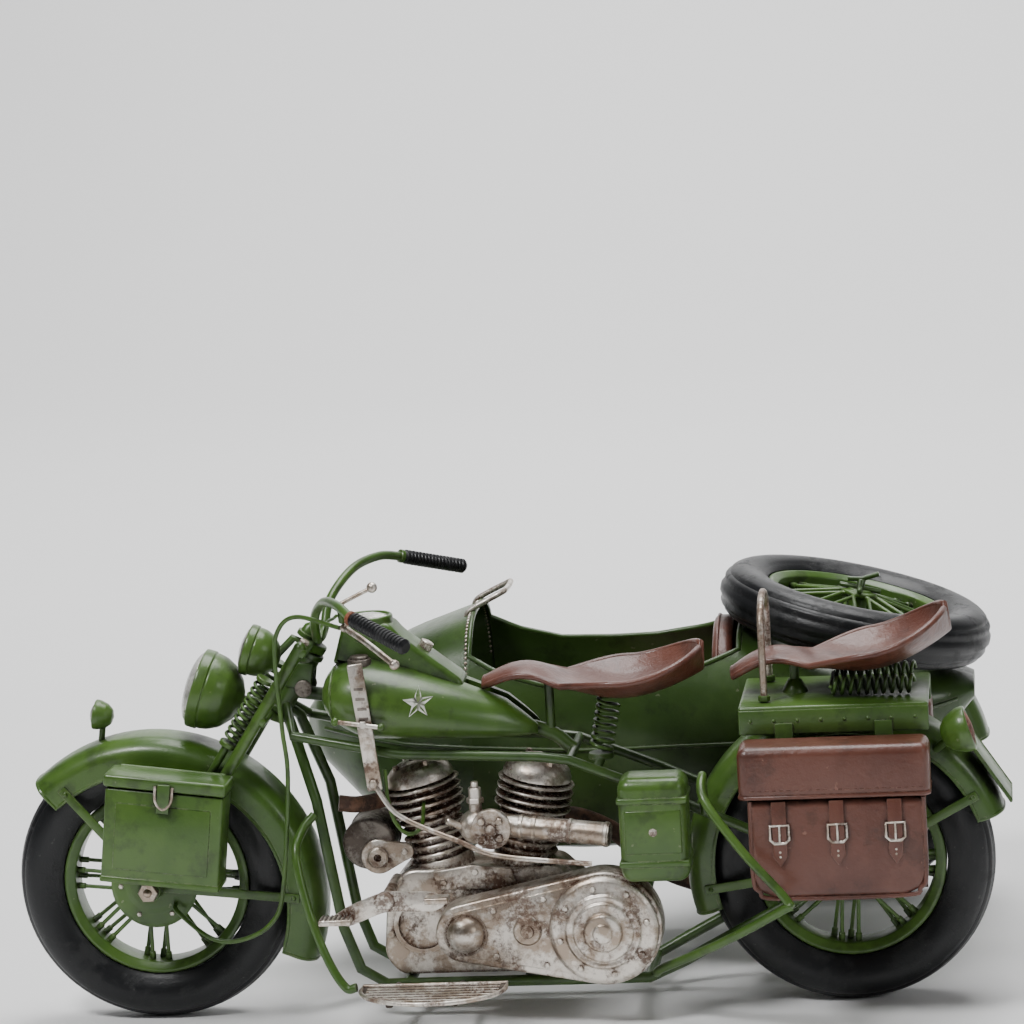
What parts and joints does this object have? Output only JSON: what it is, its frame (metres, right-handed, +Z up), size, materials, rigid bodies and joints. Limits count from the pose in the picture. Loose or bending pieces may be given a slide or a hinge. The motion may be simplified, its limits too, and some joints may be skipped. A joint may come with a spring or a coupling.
{
  "type": "tin model motorcycle with sidecar",
  "caption": "Vintage tin display motorcycle with an open sidecar, tank, sprung saddles, panniers, crash bars and a spare wheel; wheels, fork, levers and lids move.",
  "frame": {"origin": "middle of the base of the whole object, on the surface that its tyres stand on", "axes": "-X is forward, -Y is the motorcycle's left, the sidecar is on +Y, +Z is up"},
  "size_m": [0.3434, 0.2266, 0.1575],
  "materials": {
    "olive_paint": "semi-gloss fern green enamel with an antique wash",
    "dark_olive_paint": "semi-gloss dark olive enamel with an antique wash",
    "brown_leather": "reddish brown enamel over pressed tin, like worn leather",
    "black_rubber": "satin black rubber",
    "antique_silver": "antique silver with a brown wash",
    "dark_steel": "dark steel grey with a brown wash",
    "rusty_brown": "dark rusty brown",
    "lamp_glass": "pale silvery lamp glass"
  },
  "bodies": {
    "chassis": {"carburettor": "antique_silver", "crankcase": "antique_silver", "exhaust_pipe": "rusty_brown", "footboard_left": "antique_silver", "footboard_right": "antique_silver", "front_crash_bar": "olive_paint", "front_cylinder": "antique_silver", "front_saddle": "brown_leather", "gear_gate": "antique_silver", "generator": "dark_steel", "grab_handle": "antique_silver", "main_frame": "dark_olive_paint", "pannier_left": "brown_leather", "pannier_right": "brown_leather", "passenger_handle": "antique_silver", "pillion_saddle": "brown_leather", "pillion_springs": "dark_olive_paint", "primary_cover": "antique_silver", "rack_box": "olive_paint", "rear_axle": "antique_silver", "rear_crash_bar": "olive_paint", "rear_cylinder": "antique_silver", "rear_fender": "olive_paint", "saddle_spring": "dark_olive_paint", "sidecar_backrest": "brown_leather", "sidecar_body": "dark_olive_paint", "sidecar_chassis": "dark_olive_paint", "sidecar_fender": "dark_olive_paint", "sidecar_seat": "brown_leather", "spare_tyre": "black_rubber", "spare_wheel": "olive_paint", "tank_console": "olive_paint", "tank_left": "olive_paint", "tank_right": "olive_paint", "toolbox": "olive_paint"},
    "steering_head": {"fork": "olive_paint", "fork_spring_left": "dark_olive_paint", "fork_spring_right": "dark_olive_paint", "headlamp": "olive_paint", "headlamp_lens": "lamp_glass", "blackout_lamp": "olive_paint", "handlebar": "olive_paint", "grip_left": "black_rubber", "grip_right": "black_rubber", "front_fender": "olive_paint", "ammo_box": "olive_paint", "front_brake_plate": "olive_paint", "brake_cable": "olive_paint", "front_axle": "antique_silver"},
    "front_wheel_assembly": {"front_tyre": "black_rubber", "front_wheel": "olive_paint"},
    "rear_wheel_assembly": {"rear_tyre": "black_rubber", "rear_wheel": "olive_paint"},
    "sidecar_wheel_assembly": {"sidecar_tyre": "black_rubber", "sidecar_wheel": "olive_paint"},
    "brake_lever_arm": {"brake_lever": "antique_silver"},
    "gear_lever_arm": {"gear_lever": "antique_silver"},
    "clutch_pedal_arm": {"clutch_pedal": "antique_silver"},
    "ammo_lid": {"ammo_box_lid": "olive_paint"},
    "pannier_lid": {"pannier_lid_left": "brown_leather"}
  },
  "joints": [
    {"name": "steering", "type": "hinge", "parent": "chassis", "child": "steering_head", "pos_m": [-0.07053, -0.0381, 0.11669], "axis": [0.5519, 0, 0.8339], "range_deg": [-12, 12]},
    {"name": "front_wheel_spin", "type": "hinge", "parent": "steering_head", "child": "front_wheel_assembly", "pos_m": [-0.12298, -0.0381, 0.04869], "axis": [0, 1, 0], "continuous": true},
    {"name": "rear_wheel_spin", "type": "hinge", "parent": "chassis", "child": "rear_wheel_assembly", "pos_m": [0.11602, -0.0381, 0.04869], "axis": [0, 1, 0], "continuous": true},
    {"name": "sidecar_wheel_spin", "type": "hinge", "parent": "chassis", "child": "sidecar_wheel_assembly", "pos_m": [0.10902, 0.0975, 0.04869], "axis": [0, 1, 0], "continuous": true},
    {"name": "brake_lever_pull", "type": "hinge", "parent": "steering_head", "child": "brake_lever_arm", "pos_m": [-0.04543, -0.0781, 0.142], "axis": [-0.758, -0.5089, -0.4081], "range_deg": [0, 12]},
    {"name": "gear_lever_swing", "type": "hinge", "parent": "chassis", "child": "gear_lever_arm", "pos_m": [-0.04358, -0.0656, 0.10619], "axis": [0, 1, 0], "range_deg": [-15, 15]},
    {"name": "clutch_pedal_rock", "type": "hinge", "parent": "chassis", "child": "clutch_pedal_arm", "pos_m": [-0.03798, -0.0781, 0.04869], "axis": [0, 1, 0], "range_deg": [-10, 10]},
    {"name": "ammo_lid_hinge", "type": "hinge", "parent": "steering_head", "child": "ammo_lid", "pos_m": [-0.11113, -0.057, 0.09128], "axis": [-0.9914, 0, 0.1305], "range_deg": [0, 90]},
    {"name": "pannier_lid_hinge", "type": "hinge", "parent": "chassis", "child": "pannier_lid", "pos_m": [0.08202, -0.0635, 0.09709], "axis": [-1, 0, 0], "range_deg": [0, 90]}
  ]
}
